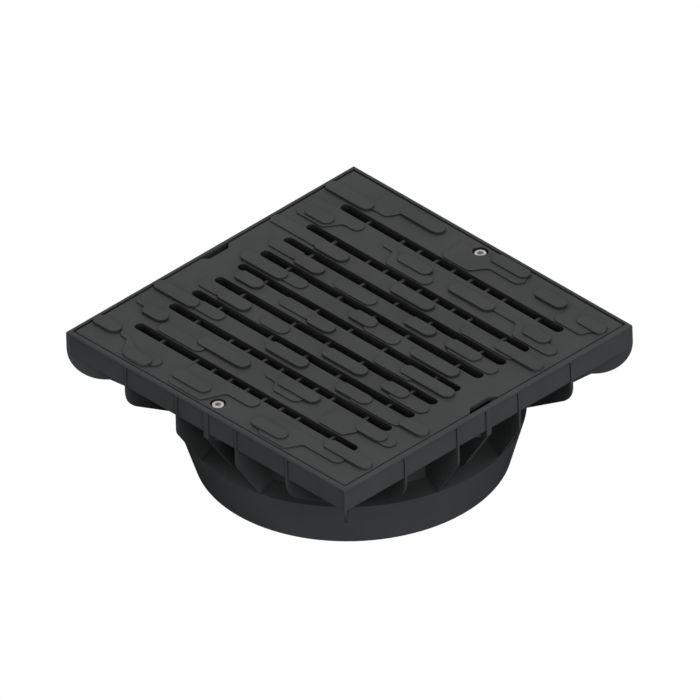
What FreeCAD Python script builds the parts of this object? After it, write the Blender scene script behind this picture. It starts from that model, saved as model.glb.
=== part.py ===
import FreeCAD, Part
import math
import os

# Square drain grate in its frame, for an upright drain pipe. Millimetres, +Z up,
# origin on the axis at the lower end of the spigot. The frame's rim is level with the paving.

# Frame
FRAME_SIDE = 395.0          # outer side of the square rim
RIM_HEIGHT = 147.0          # lower end of the spigot to the top of the rim
RIM_WIDTH = 4.5             # rim seen from above
RIM_ROUND = 2.5             # outer edge of the rim
LIP_HEIGHT = 3.5            # band under the rim that stands proud of the skirt
SKIRT_SETBACK = 1.5         # skirt face behind the rim face
SKIRT_HEIGHT = 27.5         # rim top to the lower edge of the skirt
DECK_THICKNESS = 4.0        # floor that carries the grate
SPIGOT_DIAMETER = 315.0     # lower end, for a 315 mm pipe
SPIGOT_LENGTH = 52.0        # lower end to the shoulder
SHOULDER_DIAMETER = 346.0   # sharp edge above the tapered spigot
NECK_DIAMETER = 312.0
NECK_FOOT_RISE = 10.0       # shoulder to where the neck runs straight up
FUNNEL_WALL = 4.5

# Ribs under the skirt, each set by where its lower edge leaves the skirt's face
RIB_THICKNESS = 2.5
NEAR_RIB_OFFSET = 42.0      # from the middle of a side
NEAR_RIB_DROP = 47.5        # rim top to the corner of the lower edge
NEAR_RIB_ROUND = 13.0
NEAR_RIB_END_RISE = -2.0    # end of the lower edge above the shoulder's edge
FAR_RIB_OFFSET = 114.0
FAR_RIB_DROP = 48.0
FAR_RIB_ROUND = 27.0
FAR_RIB_END_RISE = 1.0
RIB_SHOULDER_INSET = 2.0    # each rib ends this far inside the shoulder's face
CORNER_RIB_THICKNESS = 3.0
CORNER_RIB_DROP = 58.0      # rim top to the flat of the lower edge
CORNER_RIB_ROUND = 38.5
CORNER_RIB_FLAT = 3.5       # level stretch before the lower edge slopes to the shoulder
GUSSET_THICKNESS = 6.5
GUSSET_DROP = 33.0

# Screw bosses, one in the middle of each side, drilled on the two sides that are screwed
SCREW_INSET = 17.5          # screw axis behind the rim face
BOSS_DIAMETER = 19.0
BOSS_DROP = 38.0            # rim top to the lower end of the boss

# Grate
GRATE_CLEARANCE = 2.0       # gap to the rim all round
PLATE_THICKNESS = 6.0
PLATE_CHAMFER = 0.8         # broken top edge of the plate
EDGE_WALL = 4.5             # wall round the edge that stands on the deck
UNDER_CLEARANCE = 5.5       # ribs of the grate to the deck, so that water can run
SLOT_PITCH = 31.4
SLOT_WIDTH = 11.0
SLOT_LENGTH = 312.0
SLOT_STEPS = (-4.5, -3, -2, -1, 0, 1, 2, 3, 4.5)   # slot centres, in pitches from the middle
SLOT_WALL = 3.5             # wall under the plate along each slot
END_FLATS = 6               # flats that make up the round end of a slot or tongue
WEB_THICKNESS = 3.5
WEB_SINK = 4.0              # top of a web below the plate, where it crosses a slot
WEB_PLACES = (-120.0, -48.0, 0.0, 48.0, 120.0)     # webs across the whole grate
SHORT_WEB_PLACES = (-72.0, -24.0, 24.0, 72.0)      # more webs in the two outer slots on each side
NOTCH_LENGTH = 39.0         # lifting notches in the two edges that the slots end at
NOTCH_DEPTH = 6.7
NOTCH_DROP = 13.0
POST_DIAMETER = 22.0        # tube under the plate round each screw

# Raised tongues on the plate, against slipping
TONGUE_WIDTH = 15.0
TONGUE_BEVEL = 4.0
TALL = 3.0
LOW = 1.4
TONGUE_ROOT = 1.0           # tongue is sunk this far into the plate
# For each strip between slots, from the -Y edge up: start, end, distance above the strip's
# lower edge, height.
TONGUES = (
    ((-191, -158, 21, TALL), (-127, -95, 2, TALL), (-112, -88, 9, LOW), (-67, -19, 9.8, TALL),
     (-12, 32, 27.3, LOW), (48, 93, 7.2, TALL), (109, 162, 18.3, LOW), (128, 189, 29, TALL)),
    ((-168, -138, 11, TALL), (-137, -75, 1.3, LOW), (-90, -22, 11.2, TALL), (18, 71, 17.2, TALL),
     (23, 57, 8.1, LOW), (130, 167, 16.4, TALL), (140, 179, 17, LOW)),
    ((-191, -133, 1.8, TALL), (-138, -100, 5, LOW), (-35, 19, 4.4, TALL), (65, 110, 3.5, TALL),
     (88, 158, 1, LOW), (154, 189, 4.6, TALL)),
    ((-162, -128, 4.3, LOW), (-133, -92, 1.7, TALL), (-72, -37, 1.2, LOW), (13, 71, 3.9, TALL),
     (96, 129, 4.8, TALL), (111, 160, 1.3, LOW)),
    ((-145, -111, 5.6, TALL), (-82, -34, 5.5, LOW), (-38, -5, 1.5, TALL), (58, 112, 1, LOW),
     (90, 160, 5.5, TALL)),
    ((-165, -105, 1.7, TALL), (-112, -80, 5.2, LOW), (-15, 19, 5.1, TALL), (10, 55, 1.1, LOW),
     (76, 138, 1.8, TALL)),
    ((-162, -118, 5.8, LOW), (-121, -85, 1.5, TALL), (-64, -10, 1.1, LOW), (33, 71, 3.7, TALL),
     (90, 135, 4.3, TALL), (96, 161, 1, LOW)),
    ((-191, -118, 4.5, LOW), (-125, -83, 1.5, TALL), (-17, 38, 1.5, TALL), (83, 158, 1.1, LOW),
     (128, 189, 4.3, TALL)),
    ((-174, -140, 4.5, TALL), (-140, -111, 18.8, LOW), (-52, 4, 0.9, LOW), (-50, -7, 11.3, TALL),
     (23, 82, 10.8, TALL), (126, 180, 0.9, LOW), (129, 162, 9.8, TALL)),
    ((-191, -129, 1.8, TALL), (-104, -49, 22.2, TALL), (18, 70, 18, LOW), (18, 67, 27.3, TALL),
     (91, 130, 16.2, TALL), (154, 189, 12.8, TALL)),
)
# Low lands on the two wide strips at each side, from the -Y edge up, whose lower edge bends
# across the strip in an S: start, where the bend starts and ends, distance above the strip's
# lower edge before and after the bend.
LANDS = (
    ((-156, -146, -126, 24.8, 3.3), (-64, -18, -2, 1.8, 27.3), (63, 102, 115, 1.8, 18.3)),
    ((-186, -173, -162, 20.1, 11.6), (-2, 14, 26, 19.6, 8.1), (93, 127, 138, 1.3, 17.1)),
    ((-182, -145, -128, 1, 18.8), (-79, -63, -51, 19.6, 0.9), (72, 113, 129, 18.1, 0.9)),
    ((-135, -112, -99, 9.6, 25.5), (-24, 13, 30, 1.1, 18), (135, 173, 181, 1.1, 13.5)),
)
LAND_BACK = 6.0             # land behind the higher end of a bend that falls
BEND_FLATS = 6              # flats that make up a bend

# Stainless M8 screws and their nuts, which are moulded into the bosses
SCREW_DIAMETER = 8.0
SCREW_LENGTH = 30.0         # under the head
SCREW_END_ROOM = 1.0        # hole beyond the screw's tip
SCREW_HOLE_CLEARANCE = 0.5  # each side
HEAD_DIAMETER = 14.0
HEAD_HEIGHT = 4.4
HEAD_CHAMFER = 1.2
HEAD_SINK = 1.3             # head top below the plate
HEAD_CLEARANCE = 1.0        # each side, in the grate's recess
SOCKET_ACROSS = 6.0
SOCKET_DEPTH = 2.6
NUT_ACROSS = 13.0
NUT_HEIGHT = 6.5
NUT_CLEARANCE = 0.1         # each side, in the boss
THREAD_CLEARANCE = 0.1      # screw to nut, each side

# Heights and widths that follow from the sizes above
half_side = FRAME_SIDE / 2
deck_under = RIM_HEIGHT - SKIRT_HEIGHT
deck_top = deck_under + DECK_THICKNESS
well_side = FRAME_SIDE - 2 * RIM_WIDTH
grate_side = well_side - 2 * GRATE_CLEARANCE
grate_inside = grate_side - 2 * EDGE_WALL
plate_under = RIM_HEIGHT - PLATE_THICKNESS
grate_rib_under = deck_top + UNDER_CLEARANCE
neck_radius = NECK_DIAMETER / 2
shoulder_radius = SHOULDER_DIAMETER / 2
spigot_radius = SPIGOT_DIAMETER / 2
screw_place = half_side - SCREW_INSET
screw_hole_radius = SCREW_DIAMETER / 2 + SCREW_HOLE_CLEARANCE
head_top = RIM_HEIGHT - HEAD_SINK
head_under = head_top - HEAD_HEIGHT
screw_tip = head_under - SCREW_LENGTH
screw_hole_end = screw_tip - SCREW_END_ROOM
boss_under = RIM_HEIGHT - BOSS_DROP
nut_top = deck_under
nut_under = nut_top - NUT_HEIGHT
slot_places = [step * SLOT_PITCH for step in SLOT_STEPS]
above = RIM_HEIGHT + 2 * TALL   # clear of everything, for cuts from above

Z_AXIS = FreeCAD.Vector(0, 0, 1)
ORIGIN = FreeCAD.Vector(0, 0, 0)


def block(x_low, x_high, y_low, y_high, low, high):
    """Box between two corners."""
    return Part.makeBox(x_high - x_low, y_high - y_low, high - low, FreeCAD.Vector(x_low, y_low, low))


def square_block(side, low, high):
    """Upright square block on the axis."""
    return block(-side / 2, side / 2, -side / 2, side / 2, low, high)


def top_edges(body):
    """Edges round the top of a block."""
    return [edge for edge in body.Edges if edge.BoundBox.ZMin > body.BoundBox.Center.z]


def round_bar(radius, low, high, x=0.0, y=0.0):
    """Upright cylinder."""
    return Part.makeCylinder(radius, high - low, FreeCAD.Vector(x, y, low))


def upright_hexagon(across, low, high, y):
    """Upright hexagonal bar at a screw's place, given its width across flats."""
    corner = across / math.sqrt(3)
    points = []
    for step in range(7):
        angle = math.radians(60 * step)
        points.append(FreeCAD.Vector(corner * math.sin(angle), y + corner * math.cos(angle), low))
    return Part.Face(Part.makePolygon(points)).extrude(FreeCAD.Vector(0, 0, high - low))


def in_plane(across, height):
    """Point of the XZ plane."""
    return FreeCAD.Vector(across, 0, height)


def turned(points):
    """Solid turned about the axis from an outline whose first and last points are joined through it."""
    first = in_plane(0, points[0].z)
    last = in_plane(0, points[-1].z)
    outline = Part.makePolygon([first] + points + [last, first])
    return Part.Face(outline).revolve(ORIGIN, Z_AXIS, 360)


def line(start, end):
    return Part.LineSegment(start, end).toShape()


def arc(start, middle, end):
    return Part.Arc(start, middle, end).toShape()


def four_sides(shape):
    """The shape and its copies on the other three sides."""
    copies = []
    for turn in range(4):
        copy = shape.copy()
        copy.rotate(ORIGIN, Z_AXIS, 90 * turn)
        copies.append(copy)
    return copies


# Frame

def funnel_outline(high):
    """Outside of the neck, shoulder and spigot, from the top down."""
    return [
        in_plane(neck_radius, high),
        in_plane(neck_radius, SPIGOT_LENGTH + NECK_FOOT_RISE),
        in_plane(shoulder_radius, SPIGOT_LENGTH),
        in_plane(spigot_radius, 0),
    ]


def set_in(points, wall):
    """Parallel of an outline that runs downwards, one wall thickness towards the axis."""
    normals = []
    for start, end in zip(points, points[1:]):
        run = end - start
        normals.append(in_plane(run.z, -run.x) * (1 / run.Length))
    moved = [points[0] - in_plane(wall / abs(normals[0].x), 0)]
    for point, before, after in zip(points[1:], normals, normals[1:]):
        moved.append(point + (before + after) * (wall / (1 + before.dot(after))))
    moved.append(points[-1] - in_plane(wall / abs(normals[-1].x), 0))
    return moved


def plate_from(edges, thickness):
    """Upright plate in the XZ plane, centred on it."""
    plate = Part.Face(Part.Wire(edges)).extrude(FreeCAD.Vector(0, thickness, 0))
    plate.translate(FreeCAD.Vector(0, -thickness / 2, 0))
    return plate


def rib_end_radius(end_rise):
    """Where a rib's lower edge ends, just inside the shoulder or its slope up to the neck."""
    slope = (shoulder_radius - neck_radius) / NECK_FOOT_RISE
    return shoulder_radius - slope * max(end_rise, 0) - RIB_SHOULDER_INSET


def side_rib(offset, drop, round_radius, end_rise):
    """Rib square to the +X side, flush with the rim's face, its lower edge running to the shoulder."""
    reach = half_side - math.sqrt(rib_end_radius(end_rise) ** 2 - offset ** 2)
    end_height = SPIGOT_LENGTH + end_rise
    corner_height = RIM_HEIGHT - drop
    slope = math.atan2(corner_height - end_height, reach)
    turn = math.pi / 2 - slope
    tangent = round_radius * math.tan(turn / 2)
    top = in_plane(half_side, RIM_HEIGHT - LIP_HEIGHT)
    round_start = in_plane(half_side, corner_height + tangent)
    round_end = in_plane(half_side - tangent * math.cos(slope), corner_height - tangent * math.sin(slope))
    centre = round_start - in_plane(round_radius, 0)
    middle = centre + in_plane(round_radius * math.cos(turn / 2), -round_radius * math.sin(turn / 2))
    end = in_plane(half_side - reach, end_height)
    inner_low = in_plane(0, end_height)
    inner_high = in_plane(0, top.z)
    edges = [
        line(top, round_start),
        arc(round_start, middle, round_end),
        line(round_end, end),
        line(end, inner_low),
        line(inner_low, inner_high),
        line(inner_high, top),
    ]
    rib = plate_from(edges, RIB_THICKNESS)
    rib.translate(FreeCAD.Vector(0, offset, 0))
    return rib


def corner_rib():
    """Rib on the diagonal: quarter round under the corner, a level stretch, then down to the shoulder."""
    corner = half_side * math.sqrt(2)
    level = RIM_HEIGHT - CORNER_RIB_DROP
    top = in_plane(corner, RIM_HEIGHT - LIP_HEIGHT)
    round_start = in_plane(corner, level + CORNER_RIB_ROUND)
    centre = round_start - in_plane(CORNER_RIB_ROUND, 0)
    diagonal = CORNER_RIB_ROUND * math.sqrt(0.5)
    middle = centre + in_plane(diagonal, -diagonal)
    round_end = centre - in_plane(0, CORNER_RIB_ROUND)
    flat_end = round_end - in_plane(CORNER_RIB_FLAT, 0)
    end = in_plane(rib_end_radius(0), SPIGOT_LENGTH)
    inner_low = in_plane(0, SPIGOT_LENGTH)
    inner_high = in_plane(0, top.z)
    edges = [
        line(top, round_start),
        arc(round_start, middle, round_end),
        line(round_end, flat_end),
        line(flat_end, end),
        line(end, inner_low),
        line(inner_low, inner_high),
        line(inner_high, top),
    ]
    rib = plate_from(edges, CORNER_RIB_THICKNESS)
    rib.rotate(ORIGIN, Z_AXIS, 45)
    return rib


def gusset():
    """Thick rib through the screw boss of the +X side, its lower edge sloping from the skirt to the neck."""
    top = in_plane(half_side, RIM_HEIGHT - LIP_HEIGHT)
    outer_low = in_plane(half_side, RIM_HEIGHT - GUSSET_DROP)
    end = in_plane(neck_radius, SPIGOT_LENGTH)
    inner_low = in_plane(0, SPIGOT_LENGTH)
    inner_high = in_plane(0, top.z)
    edges = [
        line(top, outer_low),
        line(outer_low, end),
        line(end, inner_low),
        line(inner_low, inner_high),
        line(inner_high, top),
    ]
    return plate_from(edges, GUSSET_THICKNESS)


def rim():
    """Proud band round the top, its outer edge round."""
    band = square_block(FRAME_SIDE, RIM_HEIGHT - LIP_HEIGHT, RIM_HEIGHT)
    return band.makeFillet(RIM_ROUND, top_edges(band))


def make_frame():
    """Rim, skirt, deck, ribs, screw bosses and funnel, moulded as one piece."""
    skirt = square_block(FRAME_SIDE - 2 * SKIRT_SETBACK, deck_under, RIM_HEIGHT - LIP_HEIGHT)
    one_side = [gusset(), round_bar(BOSS_DIAMETER / 2, boss_under, deck_top, screw_place), corner_rib()]
    for offset, drop, round_radius, end_rise in (
        (NEAR_RIB_OFFSET, NEAR_RIB_DROP, NEAR_RIB_ROUND, NEAR_RIB_END_RISE),
        (FAR_RIB_OFFSET, FAR_RIB_DROP, FAR_RIB_ROUND, FAR_RIB_END_RISE),
    ):
        one_side.append(side_rib(offset, drop, round_radius, end_rise))
        one_side.append(side_rib(-offset, drop, round_radius, end_rise))
    additions = [rim(), turned(funnel_outline(deck_top))]
    for shape in one_side:
        additions.extend(four_sides(shape))
    body = skirt.multiFuse(additions)
    body = body.common(square_block(FRAME_SIDE, 0, RIM_HEIGHT))

    cuts = [square_block(well_side, deck_top, above), turned(set_in(funnel_outline(above), FUNNEL_WALL))]
    for y in (-screw_place, screw_place):
        cuts.append(round_bar(screw_hole_radius, screw_hole_end, above, 0, y))
        cuts.append(upright_hexagon(NUT_ACROSS + 2 * NUT_CLEARANCE, nut_under, nut_top, y))
    return body.cut(cuts).removeSplitter()


# Grate

def strips():
    """Lower and upper edge of each strip of plate between slots, from the -Y edge up."""
    edges = [-grate_side / 2]
    for place in slot_places:
        edges.append(place - SLOT_WIDTH / 2)
        edges.append(place + SLOT_WIDTH / 2)
    edges.append(grate_side / 2)
    return list(zip(edges[0::2], edges[1::2]))


def half_round(x, y, radius, height, from_angle):
    """Points of a half circle, counter-clockwise, as a row of short flats."""
    points = []
    for step in range(END_FLATS + 1):
        angle = math.radians(from_angle + 180 * step / END_FLATS)
        points.append(FreeCAD.Vector(x + radius * math.cos(angle), y + radius * math.sin(angle), height))
    return points


def upright(points, height):
    """Upright block on a closed outline."""
    return Part.Face(Part.makePolygon(points + points[:1])).extrude(FreeCAD.Vector(0, 0, height))


def slot(y):
    """Through slot along X with round ends."""
    radius = SLOT_WIDTH / 2
    end = SLOT_LENGTH / 2 - radius
    outline = half_round(end, y, radius, deck_top, -90) + half_round(-end, y, radius, deck_top, 90)
    return upright(outline, above - deck_top)


def tongue(start, end, lower_edge, height):
    """Raised tongue along X, its start bevelled at both corners and its end round."""
    radius = TONGUE_WIDTH / 2
    low = RIM_HEIGHT - TONGUE_ROOT
    upper_edge = lower_edge + TONGUE_WIDTH
    outline = half_round(end - radius, lower_edge + radius, radius, low, -90)
    for x, y in (
        (start + TONGUE_BEVEL, upper_edge),
        (start, upper_edge - TONGUE_BEVEL),
        (start, lower_edge + TONGUE_BEVEL),
        (start + TONGUE_BEVEL, lower_edge),
    ):
        outline.append(FreeCAD.Vector(x, y, low))
    return upright(outline, TONGUE_ROOT + height)


def land(start, bend_start, bend_end, edge, end_edge):
    """Low raised land along X, its lower edge bending in an S from one distance to another."""
    low = RIM_HEIGHT - TONGUE_ROOT
    back_edge = edge + LAND_BACK
    if end_edge > edge:
        back_edge = end_edge + TONGUE_WIDTH
    end = bend_end + TONGUE_BEVEL
    points = [(start, edge + TONGUE_BEVEL), (start + TONGUE_BEVEL, edge)]
    for step in range(BEND_FLATS + 1):
        share = step / BEND_FLATS
        climb = (1 - math.cos(math.pi * share)) / 2
        points.append((bend_start + share * (bend_end - bend_start), edge + climb * (end_edge - edge)))
    points += [(end, end_edge), (end, end_edge + TONGUE_WIDTH), (bend_start, back_edge), (start, back_edge)]
    return upright([FreeCAD.Vector(x, y, low) for x, y in points], TONGUE_ROOT + LOW)


def make_tread():
    """All raised tongues and lands, cut to the grate's outline."""
    raised = []
    for strip, row in zip(strips(), TONGUES):
        for start, end, rise, height in row:
            raised.append(tongue(start, end, strip[0] + rise, height))
    wide_strips = strips()[:2] + strips()[-2:]
    for strip, row in zip(wide_strips, LANDS):
        for start, bend_start, bend_end, rise, end_rise in row:
            raised.append(land(start, bend_start, bend_end, strip[0] + rise, strip[0] + end_rise))
    tread = raised[0].multiFuse(raised[1:])
    return tread.common(square_block(grate_side, plate_under, above))


def notch():
    """Lifting notch in the +X edge, with slanted ends, down through the plate and into the edge wall."""
    edge = grate_side / 2
    half = NOTCH_LENGTH / 2
    low = RIM_HEIGHT - NOTCH_DROP
    corners = [
        FreeCAD.Vector(edge, -half, low),
        FreeCAD.Vector(edge, half, low),
        FreeCAD.Vector(edge - NOTCH_DEPTH, half - NOTCH_DEPTH, low),
        FreeCAD.Vector(edge - NOTCH_DEPTH, NOTCH_DEPTH - half, low),
    ]
    return upright(corners, above - low)


def under_pockets():
    """Hollows under the plate, between the edge wall, the slot walls and the webs."""
    inside = grate_inside / 2
    slot_end = SLOT_LENGTH / 2
    web_edges = [-slot_end]
    for place in WEB_PLACES:
        web_edges.append(place - WEB_THICKNESS / 2)
        web_edges.append(place + WEB_THICKNESS / 2)
    web_edges.append(slot_end)
    channel = slot_end + SLOT_WALL
    pockets = [
        block(channel, inside, -inside, inside, deck_top, plate_under),
        block(-inside, -channel, -inside, inside, deck_top, plate_under),
    ]
    for lower_edge, upper_edge in strips():
        y_low = max(lower_edge + SLOT_WALL, -inside)
        y_high = min(upper_edge - SLOT_WALL, inside)
        for x_low, x_high in zip(web_edges[0::2], web_edges[1::2]):
            pockets.append(block(x_low, x_high, y_low, y_high, deck_top, plate_under))
    return pockets


def slot_webs():
    """Webs that cross the slots below the level of the plate."""
    webs = []
    reach = (SLOT_WIDTH + SLOT_WALL) / 2
    outer_slots = slot_places[:2] + slot_places[-2:]
    for y in slot_places:
        places = WEB_PLACES
        if y in outer_slots:
            places = WEB_PLACES + SHORT_WEB_PLACES
        for x in places:
            webs.append(block(x - WEB_THICKNESS / 2, x + WEB_THICKNESS / 2, y - reach, y + reach,
                              grate_rib_under, RIM_HEIGHT - WEB_SINK))
    return webs


def make_grate():
    """Slotted plate with edge wall, ribs, screw posts and tread, moulded as one piece."""
    hollows = under_pockets()
    hollows.append(square_block(grate_inside, deck_top, grate_rib_under))
    body = square_block(grate_side, deck_top, RIM_HEIGHT)
    body = body.makeChamfer(PLATE_CHAMFER, top_edges(body)).cut(hollows)

    additions = [make_tread()]
    for y in (-screw_place, screw_place):
        additions.append(round_bar(POST_DIAMETER / 2, deck_top, plate_under, 0, y))
    body = body.multiFuse(additions)

    cuts = [slot(y) for y in slot_places]
    for y in (-screw_place, screw_place):
        cuts.append(round_bar(screw_hole_radius, deck_top, above, 0, y))
        cuts.append(round_bar(HEAD_DIAMETER / 2 + HEAD_CLEARANCE, head_under, above, 0, y))
    cuts.extend(four_sides(notch())[::2])
    return body.cut(cuts).multiFuse(slot_webs()).removeSplitter()


# Screws and nuts

def make_screw(y):
    """Socket screw with a low head, upright through the grate."""
    head_radius = HEAD_DIAMETER / 2
    shank_radius = SCREW_DIAMETER / 2
    screw = turned([
        in_plane(head_radius - HEAD_CHAMFER, head_top),
        in_plane(head_radius, head_top - HEAD_CHAMFER),
        in_plane(head_radius, head_under),
        in_plane(shank_radius, head_under),
        in_plane(shank_radius, screw_tip),
    ])
    screw.translate(FreeCAD.Vector(0, y, 0))
    return screw.cut(upright_hexagon(SOCKET_ACROSS, head_top - SOCKET_DEPTH, above, y))


def make_nut(y):
    """Hexagon nut in a boss, just under the deck."""
    nut = upright_hexagon(NUT_ACROSS, nut_under, nut_top, y)
    return nut.cut(round_bar(SCREW_DIAMETER / 2 + THREAD_CLEARANCE, nut_under, nut_top, 0, y))


def both_screw_places(maker):
    """One fastener on each of the two screwed sides, as a group of separate solids."""
    return Part.makeCompound([maker(-screw_place), maker(screw_place)])


os.makedirs("parts", exist_ok=True)
make_frame().exportStep("parts/frame.step")
make_grate().exportStep("parts/grate.step")
both_screw_places(make_screw).exportStep("parts/lock_screws.step")
both_screw_places(make_nut).exportStep("parts/captive_nuts.step")
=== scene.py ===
import math
import bpy
from mathutils import Matrix, Vector


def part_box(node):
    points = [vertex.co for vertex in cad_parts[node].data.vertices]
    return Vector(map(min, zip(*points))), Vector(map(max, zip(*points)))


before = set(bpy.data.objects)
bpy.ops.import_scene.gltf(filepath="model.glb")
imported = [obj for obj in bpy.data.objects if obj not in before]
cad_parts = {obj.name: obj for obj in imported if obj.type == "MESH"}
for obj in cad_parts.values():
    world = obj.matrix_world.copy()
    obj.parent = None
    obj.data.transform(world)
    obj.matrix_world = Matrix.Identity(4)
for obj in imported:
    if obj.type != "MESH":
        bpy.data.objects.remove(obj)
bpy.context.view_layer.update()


# Frame: rim, skirt, ribs, screw bosses, neck, shoulder and spigot in one moulding of dark grey
# polypropylene. The mould leaves a fine matt grain, and every edge is slightly rounded.
# The edges are painted paler, partly as wear and partly as a painted highlight, and the hollows between
# the ribs get painted shade.
FRAME_GREY = (0.041, 0.0425, 0.044)
# Painted shade in the frame's hollows: darkest share of the colour, and the occlusion range it spans.
FRAME_PAINTED_SHADE_DARKEST = 0.45
FRAME_PAINTED_SHADE_OPENNESS = (0.5, 0.72)


def shader_nodes(tree):
    """Makers of nodes, with their socket values and settings, and of links in one shader tree."""

    def add(kind, sockets=None, **settings):
        node = tree.nodes.new(kind)
        for setting, value in settings.items():
            setattr(node, setting, value)
        for socket, value in (sockets or {}).items():
            node.inputs[socket].default_value = value
        return node

    return add, tree.links.new


def new_finish(name):
    """New material with an empty shader tree, and the makers of its nodes and links."""
    material = bpy.data.materials.new(name)
    material.use_nodes = True
    material.node_tree.nodes.clear()
    add, link = shader_nodes(material.node_tree)
    return material, add, link


def noise(add, link, scale, detail):
    """Uneven pattern fixed to the piece, from 0 to 1."""
    place = add("ShaderNodeTexCoord")
    pattern = add("ShaderNodeTexNoise", {"Scale": scale, "Detail": detail})
    link(place.outputs["Object"], pattern.inputs["Vector"])
    return pattern.outputs["Fac"]


def fine_relief(add, link, pattern, strength, depth):
    """Fine bumps that follow a pattern."""
    relief = add("ShaderNodeBump", {"Strength": strength, "Distance": depth})
    link(pattern, relief.inputs["Height"])
    return relief


def uneven_roughness(add, link, pattern, limits):
    """Roughness that follows a pattern between two limits."""
    lowest, highest = limits
    roughness = add("ShaderNodeMapRange", {"To Min": lowest, "To Max": highest})
    link(pattern, roughness.inputs["Value"])
    return roughness.outputs["Result"]


def times(colour, factor):
    """A colour made paler or darker by a factor."""
    return [factor * channel for channel in colour] + [1.0]


MOTTLE_SCALE = 18.0
MOTTLE_DETAIL = 5.0
MOTTLE_LIMITS = (0.3, 0.7)
MOTTLE_SHADES = (0.92, 1.08)


def flow_shades(add, link, mottle, grey):
    """Faint darker and paler clouds, as the melt leaves them."""
    shades = add("ShaderNodeValToRGB")
    for stop, limit, shade in zip(shades.color_ramp.elements, MOTTLE_LIMITS, MOTTLE_SHADES):
        stop.position = limit
        stop.color = times(grey, shade)
    link(mottle, shades.inputs["Fac"])
    return shades.outputs["Color"]


# Edge rounding of the normals. The pale edge mark is partly wear and partly a painted highlight.
EDGE_ROUND = 0.0005
EDGE_RAYS = 6
EDGE_FACING = (0.995, 0.85)
EDGE_WEAR_AND_HIGHLIGHT_SHARE = 0.2
EDGE_WEAR_AND_HIGHLIGHT_PALENESS = 1.7


def wear_and_highlight_edges(add, link, rounded, colour, grey):
    """Paler colour along the edges, where the rounded face turns away from the flat one: partly wear,
    partly a painted highlight.
    """
    flat = add("ShaderNodeNewGeometry")
    facing = add("ShaderNodeVectorMath", operation="DOT_PRODUCT")
    link(rounded, facing.inputs[0])
    link(flat.outputs["Normal"], facing.inputs[1])
    level, turned = EDGE_FACING
    wear_and_highlight = add("ShaderNodeMapRange", {"From Min": level, "From Max": turned, "To Max": EDGE_WEAR_AND_HIGHLIGHT_SHARE})
    link(facing.outputs["Value"], wear_and_highlight.inputs["Value"])
    edged = add("ShaderNodeMixRGB", {"Color2": times(grey, EDGE_WEAR_AND_HIGHLIGHT_PALENESS)}, blend_type="MIX")
    link(wear_and_highlight.outputs["Result"], edged.inputs["Fac"])
    link(colour, edged.inputs["Color1"])
    return edged.outputs["Color"]


# Painted shade: reach and rays of the occlusion that darkens corners and hollows.
PAINTED_SHADE_REACH = 0.08
PAINTED_SHADE_RAYS = 8


def painted_crevice_shade(add, link, colour, painted_darkest, shade_openness):
    """Painted shade: darker colour in corners and hollows, from the openness of the darkest to that of
    the palest.
    """
    shut, clear = shade_openness
    crevice = add("ShaderNodeAmbientOcclusion", {"Distance": PAINTED_SHADE_REACH})
    crevice.samples = PAINTED_SHADE_RAYS
    crevice.only_local = True
    shade = add("ShaderNodeMapRange", {"From Min": shut, "From Max": clear, "To Min": painted_darkest})
    link(crevice.outputs["AO"], shade.inputs["Value"])
    shaded = add("ShaderNodeMixRGB", {"Fac": 1.0}, blend_type="MULTIPLY")
    link(colour, shaded.inputs["Color1"])
    link(shade.outputs["Result"], shaded.inputs["Color2"])
    return shaded.outputs["Color"]


GRAIN_SCALE = 1400.0
GRAIN_DETAIL = 3.0
GRAIN_STRENGTH = 0.35
GRAIN_DEPTH = 0.0002
PLASTIC_ROUGHNESS = (0.5, 0.62)
PLASTIC_IOR = 1.49
PLASTIC_SHINE = 0.05


def moulded_plastic(name, grey, painted_darkest, shade_openness):
    """Matt moulded plastic: flow mottling, pale edges of wear and painted highlight, painted shade in
    crevices and the mould's grain.
    """
    material, add, link = new_finish(name)
    mottle = noise(add, link, MOTTLE_SCALE, MOTTLE_DETAIL)
    mottled = flow_shades(add, link, mottle, grey)
    rounded = add("ShaderNodeBevel", {"Radius": EDGE_ROUND}, samples=EDGE_RAYS).outputs["Normal"]
    edged = wear_and_highlight_edges(add, link, rounded, mottled, grey)
    # Painted shade where the piece's own occlusion closes in.
    shaded = painted_crevice_shade(add, link, edged, painted_darkest, shade_openness)
    grain = noise(add, link, GRAIN_SCALE, GRAIN_DETAIL)
    relief = fine_relief(add, link, grain, GRAIN_STRENGTH, GRAIN_DEPTH)
    link(rounded, relief.inputs["Normal"])
    surface = add("ShaderNodeBsdfPrincipled", {"IOR": PLASTIC_IOR, "Specular IOR Level": PLASTIC_SHINE})
    link(shaded, surface.inputs["Base Color"])
    link(uneven_roughness(add, link, mottle, PLASTIC_ROUGHNESS), surface.inputs["Roughness"])
    link(relief.outputs["Normal"], surface.inputs["Normal"])
    output = add("ShaderNodeOutputMaterial")
    link(surface.outputs["BSDF"], output.inputs["Surface"])
    return material


def finish_piece(piece, material):
    """Give a piece one finish all over."""
    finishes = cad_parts[piece].data.materials
    finishes.clear()
    finishes.append(material)


finish_piece("frame", moulded_plastic("frame_plastic", FRAME_GREY, FRAME_PAINTED_SHADE_DARKEST, FRAME_PAINTED_SHADE_OPENNESS))


# Grate: a slotted plate with raised tongues against slipping, moulded from the same dark
# polypropylene. It lies in the frame's well on its edge wall and lifts out by two notches.
GRATE_GREY = (0.0441, 0.0449, 0.0458)
# Painted shade in the slots and at the feet of the tongues: darkest share, and the occlusion range it
# spans.
GRATE_PAINTED_SHADE_DARKEST = 0.25
GRATE_PAINTED_SHADE_OPENNESS = (0.45, 0.75)
finish_piece("grate", moulded_plastic("grate_plastic", GRATE_GREY, GRATE_PAINTED_SHADE_DARKEST, GRATE_PAINTED_SHADE_OPENNESS))


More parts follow.
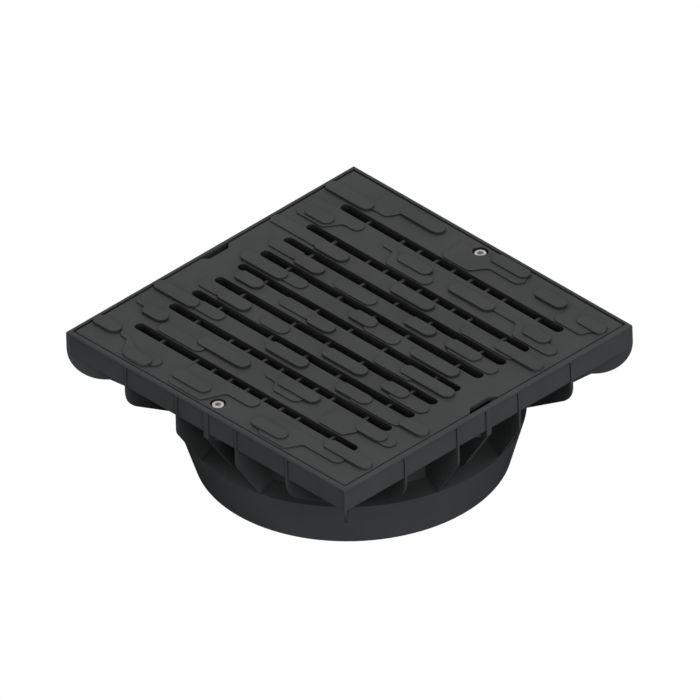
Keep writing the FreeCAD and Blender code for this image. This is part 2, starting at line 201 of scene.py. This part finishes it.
# Lock screws and captive nuts: plain stainless steel, turned and cold formed. The screws
# hold the grate down, and the nuts are moulded into the frame's bosses.
STEEL = (0.45, 0.44, 0.43)
STEEL_ROUGHNESS = (0.28, 0.45)
TURNING_SCALE = 900.0
TURNING_DETAIL = 2.0
TURNING_STRENGTH = 0.15
TURNING_DEPTH = 0.0001


def turned_steel(name):
    """Bare stainless with fine turning marks."""
    material, add, link = new_finish(name)
    marks = noise(add, link, TURNING_SCALE, TURNING_DETAIL)
    relief = fine_relief(add, link, marks, TURNING_STRENGTH, TURNING_DEPTH)
    surface = add("ShaderNodeBsdfPrincipled", {"Base Color": (*STEEL, 1.0), "Metallic": 1.0})
    link(uneven_roughness(add, link, marks, STEEL_ROUGHNESS), surface.inputs["Roughness"])
    link(relief.outputs["Normal"], surface.inputs["Normal"])
    output = add("ShaderNodeOutputMaterial")
    link(surface.outputs["BSDF"], output.inputs["Surface"])
    return material


steel = turned_steel("stainless_steel")
for fastener in ("lock_screws", "captive_nuts"):
    finish_piece(fastener, steel)


# Studio light: an even white dome that lights nothing from below, plain white as a backdrop
# all round, and one low soft light from the right.
DOME = 1.1
DOME_EDGE = 0.04
SIDE_LIGHT = 1.79
SIDE_LIGHT_SPREAD = 30.0
SIDE_LIGHT_FROM = (0.902, -0.398, 0.168)

world = bpy.data.worlds.new("dome")
world.use_nodes = True
add, link = shader_nodes(world.node_tree)
looking = add("ShaderNodeTexCoord")
direction = add("ShaderNodeSeparateXYZ")
link(looking.outputs["Generated"], direction.inputs["Vector"])
brightness = add("ShaderNodeMapRange", {"From Min": -DOME_EDGE, "From Max": DOME_EDGE, "To Max": DOME})
link(direction.outputs["Z"], brightness.inputs["Value"])
rays = add("ShaderNodeLightPath")
backdrop = add("ShaderNodeMath", operation="MAXIMUM")
link(brightness.outputs["Result"], backdrop.inputs[0])
link(rays.outputs["Is Camera Ray"], backdrop.inputs[1])
sky = world.node_tree.nodes["Background"]
sky.inputs["Color"].default_value = (1.0, 1.0, 1.0, 1.0)
link(backdrop.outputs["Value"], sky.inputs["Strength"])
bpy.context.scene.world = world

light = bpy.data.lights.new("side_light", "SUN")
light.energy = SIDE_LIGHT
light.angle = math.radians(SIDE_LIGHT_SPREAD)
lamp = bpy.data.objects.new("side_light", light)
lamp.rotation_euler = Vector(SIDE_LIGHT_FROM).to_track_quat("Z", "Y").to_euler()
lamp.visible_glossy = False
bpy.context.scene.collection.objects.link(lamp)


# Camera: parallel view from the right front and above, turned very slightly, with the middle
# of the rim a little above the middle of the picture and white all round.
AZIMUTH = 46.98
ELEVATION = 34.98
ROLL = -1.825
VIEW_WIDTH = 0.6899
DISTANCE = 2.0
AIM_RIGHT = 0.00084
AIM_DOWN = 0.02208

turn = (
    Matrix.Rotation(math.radians(AZIMUTH), 4, "Z")
    @ Matrix.Rotation(math.radians(90 - ELEVATION), 4, "X")
    @ Matrix.Rotation(math.radians(ROLL), 4, "Z")
)
rim_centre = Vector((0.0, 0.0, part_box("frame")[1].z))
step_back = Vector((AIM_RIGHT, -AIM_DOWN, DISTANCE))
eye = bpy.data.objects.new("camera", bpy.data.cameras.new("camera"))
eye.data.type = "ORTHO"
eye.data.ortho_scale = VIEW_WIDTH
eye.matrix_world = Matrix.Translation(rim_centre) @ turn @ Matrix.Translation(step_back)
bpy.context.scene.collection.objects.link(eye)
bpy.context.scene.camera = eye
bpy.context.scene.view_settings.view_transform = "Standard"
